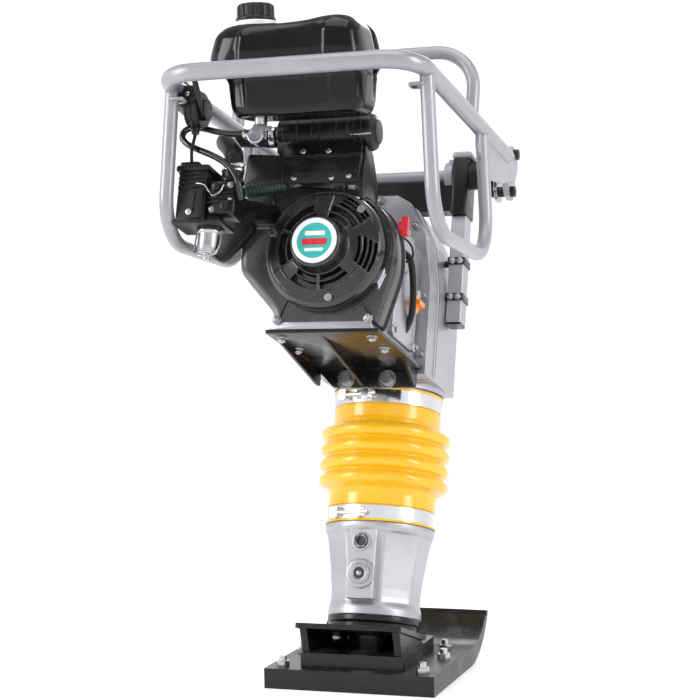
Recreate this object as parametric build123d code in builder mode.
from build123d import *
import math
import os

# Jumping jack rammer: a petrol engine drives a crank that shakes a sprung foot.
# Row frame: +X to the operator's right, +Y towards the toe, +Z up, origin at the
# middle of the sole's flat contact face.  Most of the machine is drawn in a leaned
# frame: u to the right, v forward, w up along the leg's own axis.

# ------------------------------------------------------------------ driving sizes (mm, degrees)
lean_angle = 16.6           # lean of the leg towards the toe
leg_y = 4.0                 # where the leg's axis meets the floor
# foot
sole_width = 285.0
sole_flat = 223.0           # length of the flat contact face
toe_radius = 145.5
toe_angle = 59.3
plate_t = 8.0               # steel wear plate
board_t = 24.7              # laminated board over it
board_toe_angle = 54.0
board_tip_t = 7.0
pad_half_width = 88.0
pad_rear = -92.0
pad_front = 84.0
pad_t = 24.0
flange_w = 64.0             # underside of the leaned foot flange
flange_t = 8.0
flange_rear = -138.0
# leg and springs
leg_base_w = 102.0          # bottom of the leg casting
leg_base_r = 76.5
leg_top_w = 246.0
leg_top_r = 92.0
neck_r = 86.0               # bellows seats on the casting and on the guide cylinder
neck_length = 36.0
spring_tube_r = 58.0
spring_tube_wall = 4.0
spring_tube_top = 440.0
spring_cap_t = 12.0
piston_w = 275.0
piston_t = 20.0
rod_r = 15.0
slide_gap = 0.06            # running clearance of sliding and turning fits, on the radius
guide_wall = 8.0
guide_bottom = 325.0
case_floor_w = 486.0
# bellows
bellows_low = 247.0
bellows_high = 472.0
clamp_height = 26.0
bellows_neck_r = 90.0
fold_valley_r = 97.0
fold_peak_r = 111.0
fold_count = 4
bellows_wall = 3.2
clamp_t = 1.8
body_gap = 0.4              # kept between bodies that move past each other
# drive
shaft_w = 622.0             # engine shaft height on the leg axis
gear_module = 2.5
crank_teeth = 52
pinion_teeth = 10
gear_pressure = 25.0
gear_back = -50.0           # rear face of the meshing gears
gear_t = 18.0
crank_throw = 22.0
rod_length = 102.0          # connecting rod, centre to centre
conrod_half_t = 9.0
crank_pin_r = 9.0
wrist_r = 11.0
# crankcase
case_half_width = 97.0
case_wall = 8.0
case_front = 62.0
gasket_v = -70.0
case_rear = -118.0
# engine
block_rear = -300.0
blower_rear = -352.0
recoil_r = 97.0
recoil_rear = -386.0
deck_rear = -360.0
deck_half_width = 92.0
deck_t = 6.0
# handle
handle_half_width = 200.0
handle_rear = -600.0
handle_tube_r = 13.5
tube_wall = 2.5
rail_height = 828.0         # rail centre at the rear bar
rail_slope = 0.0986         # rise of the rail per unit forward
guard_tube_r = 10.75
guard_bow = 12.0            # how far a side guard stands outside its rail
mount_w = 869.0             # axis of the rubber mounts
mount_v = -5.0
post_gap = 2.0              # air between each post and the crankcase
post_width = 26.0
post_depth = 34.0
# tank
tank_x = (-148.0, 99.0)     # the tank stands level, so it is drawn in the row frame
tank_y = (-292.0, -130.0)
tank_z = (903.0, 1045.0)
filler_x = -88.0
filler_y = -215.0

# ------------------------------------------------------------------ sizes that follow
lean_sin = math.sin(math.radians(lean_angle))
lean_cos = math.cos(math.radians(lean_angle))
sole_top = plate_t + board_t
pad_top = sole_top + pad_t
spring_bore_r = spring_tube_r - spring_tube_wall
guide_bore_r = spring_tube_r + slide_gap
guide_r = guide_bore_r + guide_wall
crank_pitch_r = gear_module * crank_teeth / 2
pinion_pitch_r = gear_module * pinion_teeth / 2
crank_w = shaft_w + crank_pitch_r + pinion_pitch_r
pin_w = crank_w - crank_throw
rod_lift = 2 * crank_throw   # stroke of the ram rod
wrist_w = pin_w - rod_length
gear_front = gear_back + gear_t
fold_low = bellows_low + clamp_height + 3.0
fold_high = bellows_high - clamp_height - 3.0
fold_pitch = (fold_high - fold_low) / fold_count
deck_top = 499.0
post_u = case_half_width + post_gap + post_width / 2
u_dir = Vector(1, 0, 0)
v_dir = Vector(0, lean_cos, -lean_sin)
w_dir = Vector(0, lean_sin, lean_cos)

os.makedirs("parts", exist_ok=True)


# ------------------------------------------------------------------ the leaned frame
def at(u, v, w):
    """A point of the leaned frame."""
    return Vector(u, leg_y + v * lean_cos + w * lean_sin, w * lean_cos - v * lean_sin)


def to_lean(y, z):
    """The (v, w) of a row point (y, z)."""
    return ((y - leg_y) * lean_cos - z * lean_sin, (y - leg_y) * lean_sin + z * lean_cos)


def across(w):
    """Plane square to the leg at height w: sketches read (u, v) and grow up the leg."""
    return Plane(origin=at(0, 0, w), x_dir=u_dir, z_dir=w_dir)


def side(u):
    """Upright plane at u: sketches read (v, w) and grow to the right."""
    return Plane(origin=at(u, 0, 0), x_dir=v_dir, z_dir=u_dir)


def facing(v):
    """Plane at v facing the operator: sketches read (u, w) and grow rearwards."""
    return Plane(origin=at(0, v, 0), x_dir=u_dir, z_dir=v_dir * -1)


leg_axis = Axis(at(0, 0, 0), w_dir)


def rail_w(v):
    """Height of the handle rail's centre at v."""
    return rail_height + rail_slope * (v - handle_rear)


# ------------------------------------------------------------------ small builders for repeated forms
def bar_up(w0, w1, radius, u=0.0, v=0.0, mode=Mode.ADD):
    """Round bar along the leg direction."""
    with BuildSketch(across(w0)) as section:
        with Locations((u, v)):
            Circle(radius)
    extrude(section.sketch, amount=w1 - w0, mode=mode)


def bar_back(v0, v1, radius, u, w, mode=Mode.ADD):
    """Round bar from v0 rearwards to v1."""
    with BuildSketch(facing(v0)) as section:
        with Locations((u, w)):
            Circle(radius)
    extrude(section.sketch, amount=v0 - v1, mode=mode)


def bar_across(u0, u1, radius, v, w, mode=Mode.ADD):
    """Round bar from u0 to u1."""
    with BuildSketch(side(u0)) as section:
        with Locations((v, w)):
            Circle(radius)
    extrude(section.sketch, amount=u1 - u0, mode=mode)


def block(u_range, v_range, w_range, corner=0.0, mode=Mode.ADD):
    """Straight block in the leaned frame, its corners round seen along the leg."""
    wide = u_range[1] - u_range[0]
    deep = v_range[1] - v_range[0]
    with BuildSketch(across(w_range[0])) as section:
        with Locations(((u_range[0] + u_range[1]) / 2, (v_range[0] + v_range[1]) / 2)):
            if corner > 0:
                RectangleRounded(wide, deep, corner)
            else:
                Rectangle(wide, deep)
    extrude(section.sketch, amount=w_range[1] - w_range[0], mode=mode)


def slab(plane, points, thickness, mode=Mode.ADD):
    """Plate with a polygon outline drawn on a plane."""
    with BuildSketch(plane) as section:
        with BuildLine():
            Polyline(*points, close=True)
        make_face()
    extrude(section.sketch, amount=thickness, mode=mode)


def turned(points, mode=Mode.ADD):
    """Body of revolution about the leg axis from (radius, w) points."""
    with BuildSketch(side(0)) as section:
        with BuildLine():
            Polyline(*points, close=True)
        make_face()
    revolve(section.sketch, axis=leg_axis, mode=mode)


def tube(points, radii, radius, wall=0.0, mode=Mode.ADD):
    """Round bar or tube along straight runs joined by tangent arcs."""
    with BuildLine() as path:
        route = FilletPolyline(*points, radius=radii)
    start = Plane(origin=path.line @ 0, z_dir=path.line % 0)
    with BuildSketch(start) as section:
        Circle(radius)
        if wall > 0:
            Circle(radius - wall, mode=Mode.SUBTRACT)
    sweep(section.sketch, path=path.line, mode=mode)
    return route.length


def hex_bolt(plane, place, shank_r, shank_length, head_h=0.0):
    """Hexagon head on a plane with a domed end, its shank running back into the plane."""
    head = head_h if head_h > 0 else shank_r * 1.3
    with BuildSketch(plane) as head_outline:
        with Locations(place):
            RegularPolygon(shank_r * 1.8, 6)
    extrude(head_outline.sketch, amount=head)
    with BuildSketch(plane) as shank_outline:
        with Locations(place):
            Circle(shank_r)
    extrude(shank_outline.sketch, amount=-shank_length)


def bolt_hole(plane, place, shank_r, depth):
    """Hole that takes hex_bolt's shank."""
    with BuildSketch(plane) as hole:
        with Locations(place):
            Circle(shank_r)
    extrude(hole.sketch, amount=-depth, mode=Mode.SUBTRACT)


def save(builder, name):
    builder.part.label = name
    export_step(builder.part, f"parts/{name}.step")


def cord_radii(name, points, share=0.45):
    """Fillet radii of a cord: share of the shorter run over the tangent of half the turn."""
    radii = []
    for before, here, after in zip(points, points[1:], points[2:]):
        run_in = here - before
        run_out = after - here
        half_turn = math.radians(run_in.get_angle(run_out)) / 2
        radii.append(share * min(run_in.length, run_out.length) / math.tan(half_turn))
    print(name, "radii", [round(r, 1) for r in radii])
    return radii


# ================================================================== the foot
half_flat = sole_flat / 2
toe_centre_z = toe_radius


def toe_point(angle, radius):
    """Point on the toe's curl, angle from the flat, on an arc of the given radius."""
    turn = math.radians(angle)
    return (half_flat + radius * math.sin(turn), toe_centre_z - radius * math.cos(turn))


plate_inner_r = toe_radius - plate_t
board_inner_r = plate_inner_r - board_t
board_tip_r = plate_inner_r - board_tip_t
board_mid_r = (board_inner_r + board_tip_r) / 2
sole_left = Plane.YZ.offset(-sole_width / 2)

sole_bolt_places = [
    (-118, -88), (118, -88), (-122, 20), (122, 20), (-104, 92), (104, 92),
]
sole_bolt_r = 6.0

with BuildPart() as sole_plate:
    with BuildSketch(sole_left):
        with BuildLine():
            Line((-half_flat, 0), (half_flat, 0))
            ThreePointArc((half_flat, 0), toe_point(toe_angle / 2, toe_radius), toe_point(toe_angle, toe_radius))
            Line(toe_point(toe_angle, toe_radius), toe_point(toe_angle, plate_inner_r))
            ThreePointArc(
                toe_point(toe_angle, plate_inner_r),
                toe_point(toe_angle / 2, plate_inner_r),
                (half_flat, plate_t),
            )
            Line((half_flat, plate_t), (-half_flat, plate_t))
            Line((-half_flat, plate_t), (-half_flat, 0))
        make_face()
    extrude(amount=sole_width)
    for place in sole_bolt_places:
        bolt_hole(Plane.XY.offset(plate_t), place, sole_bolt_r, plate_t - 3.0)
save(sole_plate, "sole_plate")

with BuildPart() as sole_board:
    with BuildSketch(sole_left):
        with BuildLine():
            Line((-half_flat, plate_t), (half_flat, plate_t))
            ThreePointArc(
                (half_flat, plate_t),
                toe_point(board_toe_angle / 2, plate_inner_r),
                toe_point(board_toe_angle, plate_inner_r),
            )
            Line(toe_point(board_toe_angle, plate_inner_r), toe_point(board_toe_angle, board_tip_r))
            ThreePointArc(
                toe_point(board_toe_angle, board_tip_r),
                toe_point(board_toe_angle / 2, board_mid_r),
                (half_flat, sole_top),
            )
            Line((half_flat, sole_top), (-half_flat, sole_top))
            Line((-half_flat, sole_top), (-half_flat, plate_t))
        make_face()
    extrude(amount=sole_width)
    for place in sole_bolt_places:
        bolt_hole(Plane.XY.offset(sole_top), place, sole_bolt_r, board_t)
save(sole_board, "sole_board")

# black weldment: pad on the board, cheeks, leaned flange and the collar under the leg
collar_r = 60.0
cheek_t = 12.0
cheek_outer = 84.0
pad_corner = to_lean(pad_rear + 4, pad_top - 4)
pad_middle = to_lean(30, pad_top - 4)

with BuildPart() as foot_weldment:
    with BuildSketch(Plane.XY.offset(sole_top)):
        with Locations((0, (pad_rear + pad_front) / 2)):
            RectangleRounded(2 * pad_half_width, pad_front - pad_rear, 6)
    extrude(amount=pad_t)
    block((-89, 89), (flange_rear, 10), (flange_w, flange_w + flange_t), corner=4)
    for start in (-cheek_outer, cheek_outer - cheek_t):
        slab(side(start), [(flange_rear + 10, flange_w + 1), (0, flange_w + 1), pad_middle, pad_corner], cheek_t)
    with BuildSketch(Plane.XY.offset(pad_top - 2)):
        with Locations((0, 22)):
            Circle(42)
    extrude(amount=30)
    bar_up(flange_w + 3, leg_base_w, collar_r)
    for place in sole_bolt_places:
        bolt_hole(Plane.XY.offset(pad_top), place, sole_bolt_r, pad_t)
save(foot_weldment, "foot_weldment")

with BuildPart() as foot_bolts:
    for place in sole_bolt_places:
        inside_pad = abs(place[0]) < pad_half_width
        seat = pad_top if inside_pad else sole_top
        hex_bolt(Plane.XY.offset(seat), place, sole_bolt_r, seat - 3.0, head_h=9.0)
        with BuildSketch(Plane.XY.offset(seat + 9.0)) as stud_end:
            with Locations(place):
                Circle(sole_bolt_r)
        extrude(stud_end.sketch, amount=8.0)
save(foot_bolts, "foot_bolts")

# aluminium leg casting, its bore holding the spring tube
leg_neck_top = leg_top_w + neck_length
tube_seat_w = 122.0
plug_w = 213.0
glass_w = 160.0
panel_face = -86.0
panel_half_width = 30.0

with BuildPart() as leg_casting:
    turned([
        (0, leg_base_w), (leg_base_r, leg_base_w), (leg_base_r, 113), (70, 121), (69.5, 150),
        (76, 190), (84, 222), (leg_top_r, 232), (leg_top_r, leg_top_w), (neck_r, leg_top_w),
        (neck_r, leg_neck_top), (0, leg_neck_top),
    ])
    block((-panel_half_width, panel_half_width), (panel_face, -40), (118, 236), corner=6)
    for start in (-80.0, 66.0):
        block((start, start + 14.0), (-22, 22), (112, 232), corner=3)
    bar_up(tube_seat_w, leg_neck_top, spring_tube_r, mode=Mode.SUBTRACT)
    bar_back(-70, -90, 9.0, -3, plug_w, mode=Mode.SUBTRACT)
    bar_back(-70, -90, 13.0, -1, glass_w, mode=Mode.SUBTRACT)
save(leg_casting, "leg_casting")

with BuildPart() as oil_plug:
    bar_back(-70, panel_face, 9.0, -3, plug_w)
    with BuildSketch(facing(panel_face)):
        with Locations((-3, plug_w)):
            RegularPolygon(11.5, 6)
    extrude(amount=6.0)
save(oil_plug, "oil_plug")

with BuildPart() as sight_glass_ring:
    bar_back(-70, panel_face, 13.0, -1, glass_w)
    bar_back(panel_face, panel_face - 9.0, 17.5, -1, glass_w)
    bar_back(-74, panel_face - 9.0, 9.5, -1, glass_w, mode=Mode.SUBTRACT)
save(sight_glass_ring, "sight_glass_ring")

with BuildPart() as sight_glass:
    bar_back(-74, panel_face - 5.0, 9.5, -1, glass_w)
save(sight_glass, "sight_glass")

# the spring tube moves with the foot and runs inside the guide cylinder
tube_floor_w = tube_seat_w + 8.0
tube_cap_w = spring_tube_top + spring_cap_t
with BuildPart() as spring_cylinder:
    bar_up(tube_seat_w, tube_cap_w, spring_tube_r)
    bar_up(tube_floor_w, spring_tube_top, spring_bore_r, mode=Mode.SUBTRACT)
    bar_up(spring_tube_top, tube_cap_w, rod_r + slide_gap, mode=Mode.SUBTRACT)
save(spring_cylinder, "spring_cylinder")

spring_wire_r = 4.5
spring_coil_r = 44.0
piston_top_w = piston_w + piston_t
spring_margin = spring_wire_r + 1.5
spring_spans = [
    (tube_floor_w + spring_margin, piston_w - spring_margin),
    (piston_top_w + spring_margin, spring_tube_top - spring_margin),
]
with BuildPart() as ram_springs:
    for low, high in spring_spans:
        turns = 6
        coil = Helix(
            pitch=(high - low) / turns, height=high - low, radius=spring_coil_r,
            center=at(0, 0, low), direction=w_dir, mode=Mode.PRIVATE,
        )
        with BuildSketch(Plane(origin=coil @ 0, z_dir=coil % 0)) as wire:
            Circle(spring_wire_r)
        sweep(wire.sketch, path=coil, is_frenet=True)
save(ram_springs, "ram_springs")

# ================================================================== ram rod and crank
fork_base_w = 490.0
fork_slot_w = wrist_w - wrist_r - rod_lift - 3.0
fork_top_w = wrist_w + 12.0
fork_half_v = 17.0
fork_half_u = 15.0
with BuildPart() as ram_rod:
    bar_up(piston_w - 12.0, fork_base_w + 4.0, rod_r)
    block((-fork_half_u, fork_half_u), (-fork_half_v, fork_half_v), (fork_base_w, fork_top_w), corner=4)
    block((-fork_half_u - 1, fork_half_u + 1), (-conrod_half_t - 1, conrod_half_t + 1),
          (fork_slot_w, fork_top_w + 1), mode=Mode.SUBTRACT)
save(ram_rod, "ram_rod")

with BuildPart() as spring_piston:
    bar_up(piston_w, piston_top_w, spring_bore_r - slide_gap)
    bar_up(piston_w, piston_top_w, rod_r, mode=Mode.SUBTRACT)
save(spring_piston, "spring_piston")

with BuildPart() as connecting_rod:
    bar_back(conrod_half_t, -conrod_half_t, crank_pin_r + 7.0, 0, pin_w)
    bar_back(conrod_half_t, -conrod_half_t, wrist_r, 0, wrist_w)
    block((-7, 7), (-6, 6), (wrist_w, pin_w))
    bar_back(conrod_half_t + 1, -conrod_half_t - 1, crank_pin_r + slide_gap, 0, pin_w, mode=Mode.SUBTRACT)
save(connecting_rod, "connecting_rod")


def tooth_outline(teeth, phase):
    """Points of an involute gear: each flank unwinds from the base circle to the tip."""
    pitch_r = gear_module * teeth / 2
    base_r = pitch_r * math.cos(math.radians(gear_pressure))
    tip_r = pitch_r + 0.75 * gear_module
    root_r = pitch_r - 0.95 * gear_module
    backlash = 0.16
    inv_pitch = math.tan(math.radians(gear_pressure)) - math.radians(gear_pressure)
    half_tooth = math.pi / (2 * teeth) - backlash / pitch_r / 2
    start_r = max(base_r, root_r)
    flank = []
    for step in range(4):
        radius = start_r + (tip_r - start_r) * step / 3
        angle = math.acos(min(1.0, base_r / radius))
        flank.append((radius, half_tooth + inv_pitch - (math.tan(angle) - angle)))
    outline = []
    for number in range(teeth):
        centre = phase + 2 * math.pi * number / teeth
        polar = [(root_r, -flank[0][1] - 0.01)] + [(r, -a) for r, a in flank]
        polar += [(r, a) for r, a in reversed(flank)] + [(root_r, flank[0][1] + 0.01)]
        for radius, angle in polar:
            outline.append((radius * math.cos(centre + angle), radius * math.sin(centre + angle)))
    return outline


def gear_wheel(teeth, phase, w, v_front, thickness):
    """Spur gear about a fore-and-aft axis on the leg's plane."""
    points = [(x, w + y) for x, y in tooth_outline(teeth, phase)]
    slab(facing(v_front), points, thickness)


journal_r = 15.0
crank_bearing_front = gear_back - 4.0
bearing_rear = gasket_v
bearing_wall = 10.0
crank_bearing_r = journal_r + slide_gap + bearing_wall
pinion_journal_r = 8.0
pinion_bearing_r = pinion_journal_r + slide_gap + bearing_wall
with BuildPart() as crank_gear:
    gear_wheel(crank_teeth, -math.pi / 2, crank_w, gear_front, gear_t)
    bar_back(gear_back, bearing_rear + 1.0, journal_r, 0, crank_w)
    bar_back(conrod_half_t, gear_front, crank_pin_r, 0, pin_w)
save(crank_gear, "crank_gear")

drum_front = -80.0
drum_rear = -110.0
drum_r = 54.0
drum_wall = 5.0
with BuildPart() as pinion_shaft:
    gear_wheel(pinion_teeth, math.pi / 2 + math.pi / pinion_teeth, shaft_w, gear_front, gear_t)
    bar_back(gear_back, drum_front - drum_wall, pinion_journal_r, 0, shaft_w)
save(pinion_shaft, "pinion_shaft")

with BuildPart() as clutch_drum:
    bar_back(drum_front, drum_rear, drum_r, 0, shaft_w)
    bar_back(drum_front - drum_wall, drum_rear, drum_r - drum_wall, 0, shaft_w, mode=Mode.SUBTRACT)
    bar_back(drum_front, drum_rear, pinion_journal_r, 0, shaft_w, mode=Mode.SUBTRACT)
save(clutch_drum, "clutch_drum")

# ================================================================== guide, bellows, clamps
bracket_bolt_r = 5.0
bracket_bolt_places = [(-36, 475.5), (36, 475.5)]
bracket_bolt_reach = 30.0
with BuildPart() as guide_cylinder:
    bar_up(guide_bottom, case_floor_w, guide_r)
    bar_up(bellows_high - neck_length, bellows_high + 4.0, neck_r)
    bar_up(bellows_high + 4.0, case_floor_w, 94.0)
    block((-52, 52), (case_rear, -60), (bellows_high + 1.0, case_floor_w), corner=4)
    bar_up(guide_bottom, case_floor_w, guide_bore_r, mode=Mode.SUBTRACT)
    for place in bracket_bolt_places:
        bolt_hole(facing(case_rear), place, bracket_bolt_r, bracket_bolt_reach)
save(guide_cylinder, "guide_cylinder")

inner_r = fold_valley_r - bellows_wall
with BuildPart() as bellows:
    with BuildSketch(side(0)):
        with BuildLine():
            Polyline((neck_r + body_gap, bellows_low), (bellows_neck_r, bellows_low),
                     (bellows_neck_r, fold_low - 3.0), (fold_valley_r, fold_low))
            for fold in range(fold_count):
                low = fold_low + fold * fold_pitch
                peak = (fold_peak_r, low + fold_pitch / 2)
                ThreePointArc((fold_valley_r, low), peak, (fold_valley_r, low + fold_pitch))
            Polyline((fold_valley_r, fold_high), (bellows_neck_r, fold_high + 3.0), (bellows_neck_r, bellows_high),
                     (neck_r, bellows_high), (neck_r, fold_high), (inner_r, fold_high))
            for fold in reversed(range(fold_count)):
                low = fold_low + fold * fold_pitch
                peak = (fold_peak_r - bellows_wall, low + fold_pitch / 2)
                ThreePointArc((inner_r, low + fold_pitch), peak, (inner_r, low))
            Polyline((inner_r, fold_low), (neck_r + body_gap, fold_low), (neck_r + body_gap, bellows_low))
        make_face()
    revolve(axis=leg_axis)
save(bellows, "bellows")

bolt_bearing = 19.0         # angle of the T-bolt from straight behind, towards the left


def t_bolt_clamp(low, gap):
    """Band round a bellows neck, closed by a T-bolt between two lugs."""
    inner = bellows_neck_r + gap
    outer = inner + clamp_t
    bar_up(low, low + clamp_height, outer)
    bar_up(low, low + clamp_height, inner, mode=Mode.SUBTRACT)
    turn = math.radians(bolt_bearing)
    outward = u_dir * -math.sin(turn) + v_dir * -math.cos(turn)
    along = u_dir * math.cos(turn) + v_dir * -math.sin(turn)
    middle = low + clamp_height / 2
    foot = at(0, 0, middle) + outward * (outer - 4.0)
    seat = Plane(origin=foot, x_dir=along, z_dir=outward)
    for centre in (-24.0, 24.0):
        with BuildSketch(seat) as lug:
            with Locations((centre, 0)):
                RectangleRounded(14, 18, 3)
        extrude(lug.sketch, amount=12.5)
    bar_up(low - 1, low + clamp_height + 1, inner, mode=Mode.SUBTRACT)
    with BuildSketch(Plane(origin=foot + outward * 8.0 - along * 26.0, z_dir=along)) as shank:
        Circle(3.4)
    extrude(shank.sketch, amount=66.0)


with BuildPart() as lower_clamp:
    t_bolt_clamp(bellows_low, body_gap)
save(lower_clamp, "lower_clamp")

with BuildPart() as upper_clamp:
    t_bolt_clamp(bellows_high - clamp_height, 0.0)
save(upper_clamp, "upper_clamp")

# ================================================================== crankcase
case_widest_w = 640.0       # the case narrows above this height
shoulder_u = case_half_width - 13.0
shoulder_w = 725.0
case_points = [
    (-case_half_width, case_floor_w), (case_half_width, case_floor_w), (case_half_width, case_widest_w),
    (shoulder_u, shoulder_w), (54.0, 783.0), (30.0, 797.0), (-30.0, 797.0), (-54.0, 783.0), (-shoulder_u, shoulder_w),
    (-case_half_width, case_widest_w),
]
cavity_points = [
    (-case_half_width + case_wall, case_floor_w + case_wall), (case_half_width - case_wall, case_floor_w + case_wall),
    (case_half_width - case_wall, case_widest_w), (shoulder_u - case_wall, shoulder_w - 3.0), (50.0 - case_wall, 775.0), (26.0, 786.0),
    (-26.0, 786.0), (case_wall - 50.0, 775.0), (case_wall - shoulder_u, shoulder_w - 3.0),
    (-case_half_width + case_wall, case_widest_w),
]


def case_side_u(w):
    """Half width of the crankcase between its widest height and its shoulder."""
    narrowing = (case_half_width - shoulder_u) / (shoulder_w - case_widest_w)
    return case_half_width - max(0.0, w - case_widest_w) * narrowing


case_bolt_u = case_half_width - 9.0
case_bolt_places = [
    (-case_bolt_u, 520), (case_bolt_u, 520), (-case_bolt_u, 620), (case_bolt_u, 620), (-66, 742), (66, 742), (0, 790),
]
case_bolt_r = 4.0
case_boss_depth = 24.0
case_bolt_length = gasket_v - case_rear + case_boss_depth - 4.0

with BuildPart() as crankcase:
    slab(facing(case_front), case_points, case_front - gasket_v)
    slab(facing(case_front - case_wall), cavity_points, case_front - case_wall - gasket_v, mode=Mode.SUBTRACT)
    bar_up(case_floor_w, case_floor_w + case_wall + 1, guide_bore_r, mode=Mode.SUBTRACT)
    bar_back(case_front + 10.0, case_front - 2.0, 60.0, 0, crank_w)
    for place in case_bolt_places:
        bar_back(gasket_v + case_boss_depth, gasket_v, 9.0, *place)
    for place in case_bolt_places:
        bolt_hole(facing(gasket_v), place, case_bolt_r, case_boss_depth - 4.0)
save(crankcase, "crankcase")

with BuildPart() as crankcase_cover:
    slab(facing(gasket_v), case_points, gasket_v - case_rear)
    bar_back(drum_front + 1.0, case_rear, drum_r + 3.0, 0, shaft_w, mode=Mode.SUBTRACT)
    bar_back(crank_bearing_front, gasket_v, crank_bearing_r + 6.0, 0, crank_w)
    bar_back(crank_bearing_front, gasket_v, pinion_bearing_r + 6.0, 0, shaft_w)
    bar_back(crank_bearing_front, bearing_rear, crank_bearing_r, 0, crank_w, mode=Mode.SUBTRACT)
    bar_back(crank_bearing_front, bearing_rear, pinion_bearing_r, 0, shaft_w, mode=Mode.SUBTRACT)
    bar_back(bearing_rear, drum_front, pinion_journal_r + 0.5, 0, shaft_w, mode=Mode.SUBTRACT)
    for place in case_bolt_places:
        bolt_hole(facing(case_rear), place, case_bolt_r, gasket_v - case_rear)
save(crankcase_cover, "crankcase_cover")

with BuildPart() as gear_bearings:
    bar_back(crank_bearing_front, bearing_rear, crank_bearing_r, 0, crank_w)
    bar_back(crank_bearing_front, bearing_rear, journal_r + slide_gap, 0, crank_w, mode=Mode.SUBTRACT)
    bar_back(crank_bearing_front, bearing_rear, pinion_bearing_r, 0, shaft_w)
    bar_back(crank_bearing_front, bearing_rear, pinion_journal_r + slide_gap, 0, shaft_w, mode=Mode.SUBTRACT)
save(gear_bearings, "gear_bearings")

# ================================================================== engine
block_half_width = 72.0
block_low_w = deck_top
block_high_w = 700.0
crank_room_r = 56.0
main_journal_r = 10.0
cylinder_tilt = 40.0        # cylinder leans to the left of the leg
cylinder_v = -205.0
cylinder_plane = Plane(
    origin=at(0, cylinder_v, shaft_w),
    x_dir=v_dir,
    z_dir=u_dir * -math.sin(math.radians(cylinder_tilt)) + w_dir * math.cos(math.radians(cylinder_tilt)),
)
barrel_r = 36.0
barrel_start = 60.0
fin_start = 110.0
fin_pitch = 6.6
fin_count = 8
head_start = fin_start + fin_pitch * fin_count

with BuildPart() as engine_block:
    block((-block_half_width, block_half_width), (block_rear, case_rear), (block_low_w, block_high_w), corner=8)
    bar_back(case_rear - 12.0, block_rear + 10.0, crank_room_r, 0, shaft_w, mode=Mode.SUBTRACT)
    bar_back(case_rear, block_rear, main_journal_r + 6.0, 0, shaft_w, mode=Mode.SUBTRACT)
    bar_across(block_half_width, block_half_width + 12.0, 15.0, -170.0, 590.0)
    bar_across(block_half_width - 10.0, block_half_width + 12.0, 9.0, -170.0, 590.0, mode=Mode.SUBTRACT)
    with BuildSketch(cylinder_plane.offset(barrel_start - 4.0)) as bore:
        Circle(barrel_r)
    extrude(bore.sketch, amount=70.0, mode=Mode.SUBTRACT)
save(engine_block, "engine_block")

with BuildPart() as engine_cylinder:
    with BuildSketch(cylinder_plane.offset(barrel_start)) as barrel:
        Circle(barrel_r)
    extrude(barrel.sketch, amount=head_start - barrel_start)
    for number in range(fin_count):
        with BuildSketch(cylinder_plane.offset(fin_start + number * fin_pitch)) as fin:
            RectangleRounded(88, 84, 12)
        extrude(fin.sketch, amount=2.4)
save(engine_cylinder, "engine_cylinder")

with BuildPart() as rocker_cover:
    with BuildSketch(cylinder_plane.offset(head_start)) as cover_foot:
        RectangleRounded(86, 66, 10)
    with BuildSketch(cylinder_plane.offset(head_start + 26.0)) as cover_top:
        RectangleRounded(74, 52, 10)
    loft([cover_foot.sketch.face(), cover_top.sketch.face()])
save(rocker_cover, "rocker_cover")

cap_plane = cylinder_plane.offset(head_start + 12.0)
with BuildPart() as spark_plug_cap:
    cap_origin = cap_plane.from_local_coords((42.8, 0, 0))
    with BuildSketch(Plane(origin=cap_origin, x_dir=cap_plane.z_dir, z_dir=v_dir)) as cap_root:
        Circle(9)
    extrude(cap_root.sketch, amount=24.0)
save(spark_plug_cap, "spark_plug_cap")

# the crankshaft carries the fan at the back and the clutch shoes at the front
shaft_front = -88.0
with BuildPart() as crankshaft:
    bar_back(shaft_front, -378.0, main_journal_r, 0, shaft_w)
    for web_v in (-178.0, -218.0):
        slab(facing(web_v), [(-16, 590), (16, 590), (24, 650), (-24, 650)], 12.0)
    bar_back(-190.0, -218.0, 12.0, 0, 603.0)
save(crankshaft, "crankshaft")

fan_front = -306.0
fan_back = -318.0
fan_r = 84.0
with BuildPart() as flywheel_fan:
    bar_back(fan_front, fan_back, fan_r, 0, shaft_w)
    with BuildSketch(facing(fan_back)) as blades:
        with Locations((0, shaft_w)):
            with PolarLocations(fan_r - 17.0, 14):
                Rectangle(26, 3)
    extrude(blades.sketch, amount=16.0)
    bar_back(fan_front, fan_back, main_journal_r, 0, shaft_w, mode=Mode.SUBTRACT)
save(flywheel_fan, "flywheel_fan")

with BuildPart() as clutch_shoes:
    with BuildSketch(facing(-90.0)) as shoes:
        with Locations((0, shaft_w)):
            Circle(drum_r - drum_wall - 2.5)
            Circle(28, mode=Mode.SUBTRACT)
            Rectangle(120, 5, mode=Mode.SUBTRACT)
            Rectangle(9, 80)
            Circle(main_journal_r + 6)
            Circle(main_journal_r, mode=Mode.SUBTRACT)
    extrude(shoes.sketch, amount=16.0)
save(clutch_shoes, "clutch_shoes")

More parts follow.
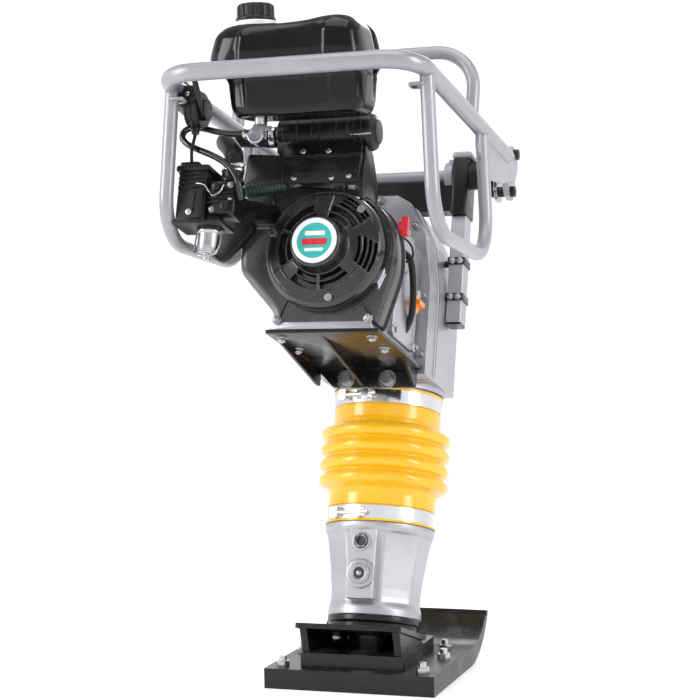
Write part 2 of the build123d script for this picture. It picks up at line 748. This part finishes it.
# black shroud round the fan, open towards the cylinder
shroud_points = [
    (-146, 594), (-84, 529), (-78, 505), (86, 505), (95, 542), (112, 600), (108, 652), (84, 704), (30, 724),
    (-40, 738), (-77, 742), (-84, 792), (-140, 800), (-160, 744), (-153, 657),
]
shroud_wall = 3.0
shroud_front = block_rear + 26.0
with BuildPart() as blower_housing:
    slab(facing(shroud_front), shroud_points, shroud_front - blower_rear)
    with BuildSketch(facing(shroud_front)) as hollow:
        with BuildLine() as rim:
            Polyline(*shroud_points, close=True)
        make_face()
        offset(amount=-shroud_wall, mode=Mode.REPLACE)
    extrude(hollow.sketch, amount=shroud_front - blower_rear - shroud_wall, mode=Mode.SUBTRACT)
    block((-block_half_width - 1.5, block_half_width + 1.5), (block_rear - 0.5, shroud_front + 1),
          (block_low_w - 2, block_high_w + 1), mode=Mode.SUBTRACT)
    bar_back(block_rear, blower_rear - 1, fan_r + 5.0, 0, shaft_w, mode=Mode.SUBTRACT)
save(blower_housing, "blower_housing")

# recoil starter: domed cover with louvres, its hub standing out to carry the badge
hub_r = 34.0
hub_rear = -428.0
louvre_count = 10
recoil_screw_r = 3.0
recoil_screw_places = [
    (84 * math.cos(math.radians(a)), shaft_w + 84 * math.sin(math.radians(a))) for a in (43, 163, 283)
]
with BuildPart() as recoil_cover:
    with BuildSketch(side(0)) as dome:
        with BuildLine():
            Polyline(
                (blower_rear, shaft_w), (blower_rear, shaft_w + recoil_r), (recoil_rear + 10, shaft_w + recoil_r),
                (recoil_rear, shaft_w + recoil_r - 10), (recoil_rear, shaft_w + 56), (hub_rear + 10, shaft_w + hub_r + 6),
                (hub_rear, shaft_w + hub_r), (hub_rear, shaft_w), close=True,
            )
        make_face()
    revolve(dome.sketch, axis=Axis(at(0, 0, shaft_w), v_dir))
    bar_back(blower_rear + 1, recoil_rear + 10.0, recoil_r - 4.0, 0, shaft_w, mode=Mode.SUBTRACT)
    bar_back(recoil_rear + 10.0, recoil_rear + 4.0, recoil_r - 16.0, 0, shaft_w, mode=Mode.SUBTRACT)
    bar_back(blower_rear, -400.0, 40.0, 0, shaft_w, mode=Mode.SUBTRACT)
    with BuildSketch(facing(recoil_rear + 6)) as louvres:
        with Locations((0, shaft_w)):
            with PolarLocations(67.0, louvre_count, start_angle=18):
                Rectangle(20, 24)
            Circle(57, mode=Mode.SUBTRACT)
    extrude(louvres.sketch, amount=10.0, mode=Mode.SUBTRACT)
    for place in recoil_screw_places:
        bar_back(blower_rear, recoil_rear, recoil_screw_r + 4.0, *place)
        bar_back(blower_rear, recoil_rear, recoil_screw_r, *place, mode=Mode.SUBTRACT)
save(recoil_cover, "recoil_cover")

# starter grip with the straight start of its rope, which the cover's mouth lets through
pull_angle = 20.0
pull_dir = v_dir * -math.cos(math.radians(pull_angle)) + u_dir * math.sin(math.radians(pull_angle))
grip_centre = at(-104, -381, 722)
grip_plane = Plane(origin=grip_centre, x_dir=pull_dir.cross(w_dir) * -1, z_dir=pull_dir)
with BuildPart() as recoil_grip:
    with BuildSketch(grip_plane.offset(-9)) as grip_section:
        SlotOverall(76, 20, rotation=14)
    extrude(grip_section.sketch, amount=18.0)
    with BuildSketch(grip_plane.offset(-9)) as rope_section:
        Circle(2.5)
    extrude(rope_section.sketch, amount=-18.0)
save(recoil_grip, "recoil_grip")

# red stop switch on the right of the shroud
switch_plane = side(106.5)
switch_place = (-330.0, 668.0)
with BuildPart() as engine_switch:
    with BuildSketch(switch_plane) as switch_hub:
        with Locations(switch_place):
            Circle(11)
    extrude(switch_hub.sketch, amount=8.0)
    with BuildSketch(switch_plane.offset(4)) as switch_tab:
        with Locations((switch_place[0] - 2, switch_place[1])):
            Rectangle(10, 30)
    extrude(switch_tab.sketch, amount=10.0)
save(engine_switch, "engine_switch")

with BuildPart() as oil_filler_cap:
    bar_across(block_half_width - 8.0, block_half_width + 12.0, 9.0 - body_gap, -170.0, 590.0)
    bar_across(block_half_width + 12.0, block_half_width + 20.0, 15.0, -170.0, 590.0)
    slab(side(block_half_width + 20.0), [(-184, 586), (-156, 586), (-156, 594), (-184, 594)], 9.0)
save(oil_filler_cap, "oil_filler_cap")

# carburettor and its intake box, left of the recoil starter
box_u = (-197.0, -143.0)
box_v = (-500.0, -442.0)
box_w = (628.0, 712.0)
with BuildPart() as carburettor:
    block(box_u, box_v, box_w, corner=6)
    block((box_u[0] - 1.5, box_u[1] + 2), (box_v[0] - 2, box_v[1] + 2), (box_w[1] - 14, box_w[1] - 8), corner=6)
    block((box_u[1], -104.0), (-492.0, -446.0), (644.0, 700.0), corner=5)
    bar_up(700.0, 712.0, 17.0, u=-122.0, v=-468.0)
    bar_up(625.0, 644.0, 21.0, u=-140.0, v=-468.0)
    tube([at(-122, -450, 672), at(-112, -400, 676), at(-100, blower_rear - 7.0, 690)], [60], 15.0)
save(carburettor, "carburettor")

with BuildPart() as float_bowl:
    bar_up(582.0, 625.0, 19.0, u=-140.0, v=-468.0)
    bar_up(574.0, 582.0, 8.0, u=-140.0, v=-468.0)
save(float_bowl, "float_bowl")

choke_place = (-170.0, 650.0)
with BuildPart() as choke_lever:
    bar_back(box_v[0], box_v[0] - 6.0, 5.0, choke_place[0], choke_place[1])
    slab(facing(box_v[0] - 2.4), [(-173, 645), (-167, 645), (-164, 678), (-176, 678)], 3.0)
save(choke_lever, "choke_lever")

cleaner_v = -350.0
cleaner_w = 826.0
cleaner_r = 27.5
cleaner_left = -100.0
cleaner_right = 54.0
with BuildPart() as air_cleaner:
    bar_across(cleaner_left, cleaner_right, cleaner_r, cleaner_v, cleaner_w)
    bar_across(cleaner_left - 14.0, cleaner_left, 15.0, cleaner_v, cleaner_w)
    block((-70, 30), (cleaner_v - 22, cleaner_v + 22), (cleaner_w - 32, cleaner_w), corner=4)
save(air_cleaner, "air_cleaner")

with BuildPart() as air_cleaner_cap:
    bar_across(cleaner_right, cleaner_right + 14.0, cleaner_r, cleaner_v, cleaner_w)
    bar_across(cleaner_right + 14.0, cleaner_right + 19.0, cleaner_r - 7.0, cleaner_v, cleaner_w)
save(air_cleaner_cap, "air_cleaner_cap")

elbow_points = [
    at(cleaner_left - 14.2, cleaner_v, cleaner_w), at(-166, cleaner_v, cleaner_w), at(-160, -408, 786),
    at(-122, -468, 752), at(-122, -468, 712.3),
]
with BuildPart() as intake_elbow:
    tube(elbow_points, cord_radii("intake_elbow", elbow_points), 14.5)
save(intake_elbow, "intake_elbow")

muffler_w = (744.0, 793.0)
with BuildPart() as muffler:
    block((-72, 40), (-376, -316), muffler_w, corner=10)
    block((28, 58), (-374, -366), (728, 792))
    bar_back(-316, -262, 13.0, 18, 768)
save(muffler, "muffler")

# black sheet bracket: deck under the engine, sloping gussets and the plate bolted to the leg
plate_v = case_rear - 0.5
plate_low_w = 458.0
plate_sheet_t = 6.0
gusset_t = 6.0
with BuildPart() as engine_bracket:
    block((-deck_half_width, deck_half_width), (deck_rear, plate_v), (deck_top - deck_t, deck_top), corner=4)
    slab(facing(plate_v), [(-58, deck_top - 1), (58, deck_top - 1), (48, plate_low_w), (-48, plate_low_w)],
         plate_sheet_t)
    for u in (-58.0, 58.0 - gusset_t):
        slab(side(u), [(deck_rear + 20, deck_top - 3), (plate_v - 3, deck_top - 3), (plate_v - 3, plate_low_w + 4)],
             gusset_t)
    for place in bracket_bolt_places:
        bolt_hole(facing(plate_v - plate_sheet_t), place, bracket_bolt_r, plate_sheet_t + 2.0)
save(engine_bracket, "engine_bracket")

# ================================================================== frame that carries the handle
beam_w = (801.0, 855.0)
post_low_w = 596.0
post_high_w = 838.0
post_v = (mount_v - post_depth / 2, mount_v + post_depth / 2)
post_inner = post_u - post_width / 2
post_outer = post_u + post_width / 2
with BuildPart() as handle_frame:
    block((-post_inner - 1, post_inner + 1), (post_v[0] + 3, post_v[1] - 3), beam_w)
    for sign in (-1, 1):
        low_u = min(sign * post_inner, sign * post_outer)
        block((low_u, low_u + post_width), post_v, (post_low_w, post_high_w), corner=3)
        block((low_u, low_u + post_width), (post_v[0] - 8, post_v[1] + 8), (post_high_w - 2, mount_w + 24), corner=6)
        for clip_w in (640.0, 704.0):
            block((low_u - 1, low_u + post_width + 1), (post_v[0] - 3, post_v[1] + 3), (clip_w, clip_w + 9), corner=3)
            reach = (sign * case_side_u(clip_w - 1.5), sign * post_inner)
            bar_across(min(reach), max(reach), 6.0, mount_v, clip_w + 4.5)
        bar_across(low_u - 1, low_u + post_width + 1, 12.0, mount_v, mount_w, mode=Mode.SUBTRACT)
save(handle_frame, "handle_frame")

with BuildPart() as cross_tube:
    bar_across(-post_outer, post_outer, 12.0, mount_v, mount_w)
    for sign in (-1, 1):
        near = min(sign * (post_inner - 12.0), sign * post_inner)
        block((near, near + 12.0), (mount_v - 15, mount_v + 15), (beam_w[1], mount_w + 26), corner=2)
save(cross_tube, "cross_tube")

tab_inner_u = handle_half_width - 10.0
plate_inner_u = tab_inner_u - 18.0
mount_plate_t = 6.0
tab_t = 10.0
rubber_r = 25.0
with BuildPart() as rubber_mounts:
    for sign in (-1, 1):
        low_u = min(sign * post_outer, sign * plate_inner_u)
        bar_across(low_u, low_u + plate_inner_u - post_outer, rubber_r, mount_v, mount_w)
save(rubber_mounts, "rubber_mounts")

mount_bolt_places = [(mount_v - 10, mount_w - 36), (mount_v + 2, mount_w + 36)]
mount_bolt_r = 5.0
with BuildPart() as mount_plates:
    for sign in (-1, 1):
        low_u = min(sign * plate_inner_u, sign * (plate_inner_u + mount_plate_t))
        with BuildSketch(side(low_u)) as oval:
            with Locations((mount_v - 4, mount_w)):
                SlotOverall(102, 46, rotation=97)
            with Locations(*mount_bolt_places):
                Circle(mount_bolt_r, mode=Mode.SUBTRACT)
        extrude(oval.sketch, amount=mount_plate_t)
save(mount_plates, "mount_plates")

rail_front = -58.0
rail_start = at(-handle_half_width, rail_front, rail_w(rail_front))
rail_end = at(handle_half_width, rail_front, rail_w(rail_front))
corner_left = at(-handle_half_width, handle_rear, rail_w(handle_rear))
corner_right = at(handle_half_width, handle_rear, rail_w(handle_rear))
loop_corner_r = 58.0
with BuildPart() as handle_loop:
    tube([rail_start, corner_left, corner_right, rail_end], [loop_corner_r, loop_corner_r], handle_tube_r, tube_wall)
    for sign in (-1, 1):
        low_u = min(sign * tab_inner_u, sign * (tab_inner_u + tab_t))
        rail_low = rail_w(rail_front) - handle_tube_r
        with BuildSketch(side(low_u)) as tab:
            with BuildLine():
                Polyline(
                    (rail_front - 12, rail_low), (rail_front - 12, rail_low + 27), (mount_v - 8, mount_w + 48),
                    (mount_v + 10, mount_w + 46), (mount_v + 20, mount_w - 6), (mount_v + 8, mount_w - 46),
                    (mount_v - 16, mount_w - 46), close=True,
                )
            make_face()
            with Locations(*mount_bolt_places):
                Circle(mount_bolt_r, mode=Mode.SUBTRACT)
        extrude(tab.sketch, amount=tab_t)
save(handle_loop, "handle_loop")

with BuildPart() as mount_bolts:
    for sign in (-1, 1):
        for place in mount_bolt_places:
            low_u = min(sign * (plate_inner_u - 7.0), sign * (tab_inner_u + tab_t + 9.0))
            bar_across(low_u, low_u + tab_inner_u + tab_t + 16.0 - plate_inner_u, mount_bolt_r, *place)
            head_u = min(sign * (plate_inner_u - 7.0), sign * plate_inner_u)
            nut_u = min(sign * (tab_inner_u + tab_t), sign * (tab_inner_u + tab_t + 8.0))
            spacer_u = min(sign * (plate_inner_u + mount_plate_t), sign * tab_inner_u)
            bar_across(head_u, head_u + 7.0, 9.0, *place)
            bar_across(nut_u, nut_u + 8.0, 9.5, *place)
            bar_across(spacer_u, spacer_u + tab_inner_u - plate_inner_u - mount_plate_t, 9.0, *place)
save(mount_bolts, "mount_bolts")

guard_top_rear = -545.0
guard_top_front = -228.0
guard_corner_rear = (-497.0, 604.0)
guard_corner_front = (-190.0, 655.0)


def guard_points(sign):
    """Centreline of a side guard: down from the rail, along under the engine, and up again."""
    rail_u = sign * handle_half_width
    out_u = sign * (handle_half_width + guard_bow)
    return [
        at(rail_u, guard_top_rear, rail_w(guard_top_rear)), at(out_u, *guard_corner_rear),
        at(out_u, *guard_corner_front), at(rail_u, guard_top_front, rail_w(guard_top_front)),
    ]


def cope_rails():
    """Cut away where the rails pass, so that a welded tube ends on their surface."""
    for sign in (-1, 1):
        rail = [at(sign * handle_half_width, v, rail_w(v)) for v in (rail_front + 6, handle_rear)]
        with BuildSketch(Plane(origin=rail[0], z_dir=(rail[1] - rail[0]).normalized())) as section:
            Circle(handle_tube_r)
        extrude(section.sketch, amount=(rail[1] - rail[0]).length, mode=Mode.SUBTRACT)


with BuildPart() as side_guards:
    for sign in (-1, 1):
        tube(guard_points(sign), [72, 78], guard_tube_r)
    cope_rails()
save(side_guards, "side_guards")

bow_v = -290.0
bow_top_w = 975.0
with BuildPart() as lifting_bow:
    tube(
        [at(-handle_half_width, bow_v, rail_w(bow_v)), at(-handle_half_width, bow_v, bow_top_w),
         at(handle_half_width, bow_v, bow_top_w), at(handle_half_width, bow_v, rail_w(bow_v))],
        [66, 66], guard_tube_r,
    )
    cope_rails()
save(lifting_bow, "lifting_bow")

# ================================================================== tank and fuel
filler_r = 23.0
filler_h = 6.0
tank_wall = 3.0
tank_levels = [          # height, how far each side stands in, corner radius
    (tank_z[0], 36.0, 26.0), (tank_z[0] + 12.0, 29.0, 32.0), (962.0, 24.0, 36.0), (978.0, 2.0, 42.0),
    (992.0, 0.0, 44.0), (1030.0, 12.0, 40.0), (tank_z[1], 28.0, 30.0),
]


def tank_body(wall, mode=Mode.ADD):
    """Rounded box lofted through the tank's levels, all of it drawn in by a wall."""
    faces = []
    for z, narrowing, corner in tank_levels:
        inset = 2 * (narrowing + wall)
        with BuildSketch(Plane.XY.offset(min(max(z, tank_z[0] + wall), tank_z[1] - wall))) as level:
            with Locations((sum(tank_x) / 2, sum(tank_y) / 2)):
                RectangleRounded(tank_x[1] - tank_x[0] - inset, tank_y[1] - tank_y[0] - inset, corner - wall)
        faces.append(level.sketch.face())
    for lower, upper in zip(faces, faces[1:]):
        loft([lower, upper], ruled=True, mode=mode)


def upright(z0, z1, radius, x, y, mode=Mode.ADD):
    """Vertical round bar."""
    with BuildSketch(Plane.XY.offset(z0)) as section:
        with Locations((x, y)):
            Circle(radius)
    extrude(section.sketch, amount=z1 - z0, mode=mode)


with BuildPart() as fuel_tank:
    tank_body(0.0)
    upright(tank_z[1] - 2, tank_z[1] + filler_h, filler_r, filler_x, filler_y)
    tank_body(tank_wall, mode=Mode.SUBTRACT)
    upright(tank_z[1] - 6, tank_z[1] + filler_h, filler_r - tank_wall, filler_x, filler_y, mode=Mode.SUBTRACT)
save(fuel_tank, "fuel_tank")

cap_low_z = tank_z[1] + filler_h + body_gap
cap_h = 27.0
with BuildPart() as fuel_cap:
    upright(cap_low_z, cap_low_z + cap_h, 30.0, filler_x, filler_y)
    with BuildSketch(Plane.XY.offset(cap_low_z + 4)) as flutes:
        with Locations((filler_x, filler_y)):
            with PolarLocations(31.0, 12):
                Circle(3.2)
    extrude(flutes.sketch, amount=18.0, mode=Mode.SUBTRACT)
save(fuel_cap, "fuel_cap")

valve_u = -76.0
valve_v = -484.0
valve_w = 774.0
valve_place = at(valve_u, valve_v, valve_w)
with BuildPart() as fuel_valve:
    upright(valve_place.Z, tank_z[0], 8.0, valve_place.X, valve_place.Y)
    bar_up(valve_w - 12, valve_w + 10, 12.0, u=valve_u, v=valve_v)
    bar_across(valve_u - 26, valve_u - 8, 4.5, valve_v, valve_w)
save(fuel_valve, "fuel_valve")

with BuildPart() as fuel_valve_lever:
    bar_back(valve_v - 12.4, valve_v - 17.0, 7.0, valve_u, valve_w)
    slab(facing(valve_v - 14.0), [(valve_u, valve_w - 3.5), (valve_u + 24, valve_w - 3.5),
                                  (valve_u + 24, valve_w + 3.5), (valve_u, valve_w + 3.5)], 3.0)
save(fuel_valve_lever, "fuel_valve_lever")

hose_r = 5.0
hose_points = [
    at(valve_u - 26.4, valve_v, valve_w), at(-134, valve_v, valve_w), at(-156, -483, 775), at(-180, -488, 780),
    at(-192, -492, 766), at(-182, -494, 750), at(-158, -496, 736), at(-130, -498, 724), at(-104, -498, 706),
    at(-92, -492, 684), at(-98, -484, 668),
]
with BuildPart() as fuel_hose:
    hose_length = tube(hose_points, cord_radii("fuel_hose", hose_points), hose_r)
save(fuel_hose, "fuel_hose")
print("fuel_hose volume share", round(fuel_hose.part.volume / (hose_length * math.pi * hose_r ** 2), 4))

throttle_v = -508.0
throttle_w = 806.0
throttle_face_u = 38.0 - handle_half_width
cable_exit_u = throttle_face_u - 10.0
with BuildPart() as throttle_housing:
    bar_across(throttle_face_u - 22.0, throttle_face_u, 27.0, throttle_v, throttle_w)
    bar_across(throttle_face_u - 26.0, throttle_face_u - 22.0, 15.0, throttle_v, throttle_w)
    bar_up(throttle_w - 38, throttle_w, 6.0, u=cable_exit_u, v=throttle_v)
save(throttle_housing, "throttle_housing")

with BuildPart() as throttle_lever:
    bar_across(throttle_face_u + body_gap, throttle_face_u + 8.0, 16.0, throttle_v, throttle_w)
    slab(side(throttle_face_u + 2.0), [(throttle_v - 6, throttle_w - 8), (throttle_v - 52, throttle_w + 34),
                        (throttle_v - 58, throttle_w + 26), (throttle_v - 14, throttle_w - 12)], 5.0)
save(throttle_lever, "throttle_lever")

cable_points = [
    at(cable_exit_u, throttle_v, throttle_w - 38.6), at(-172.5, -510, 755), at(-176, -508, 742), at(-181, -492, 730),
    at(-181, -489, 712.6),
]
cable_r = 2.6
with BuildPart() as throttle_cable:
    cable_length = tube(cable_points, cord_radii("throttle_cable", cable_points), cable_r)
save(throttle_cable, "throttle_cable")
print("throttle_cable volume share", round(throttle_cable.part.volume / (cable_length * math.pi * cable_r ** 2), 4))

# ================================================================== fasteners of the machine
with BuildPart() as machine_bolts:
    for place in case_bolt_places:
        hex_bolt(facing(case_rear), place, case_bolt_r, case_bolt_length)
    for place in bracket_bolt_places:
        bar_back(plate_v + bracket_bolt_reach, plate_v - plate_sheet_t, bracket_bolt_r, *place)
        bar_back(plate_v - plate_sheet_t, plate_v - plate_sheet_t - 3.0, 15.5, *place)
        bar_back(plate_v - plate_sheet_t - 3.0, plate_v - plate_sheet_t - 12.0, 10.0, *place)
    for place in recoil_screw_places:
        bar_back(blower_rear, recoil_rear, recoil_screw_r, *place)
        bar_back(recoil_rear, recoil_rear - 5.0, 6.0, *place)
save(machine_bolts, "machine_bolts")
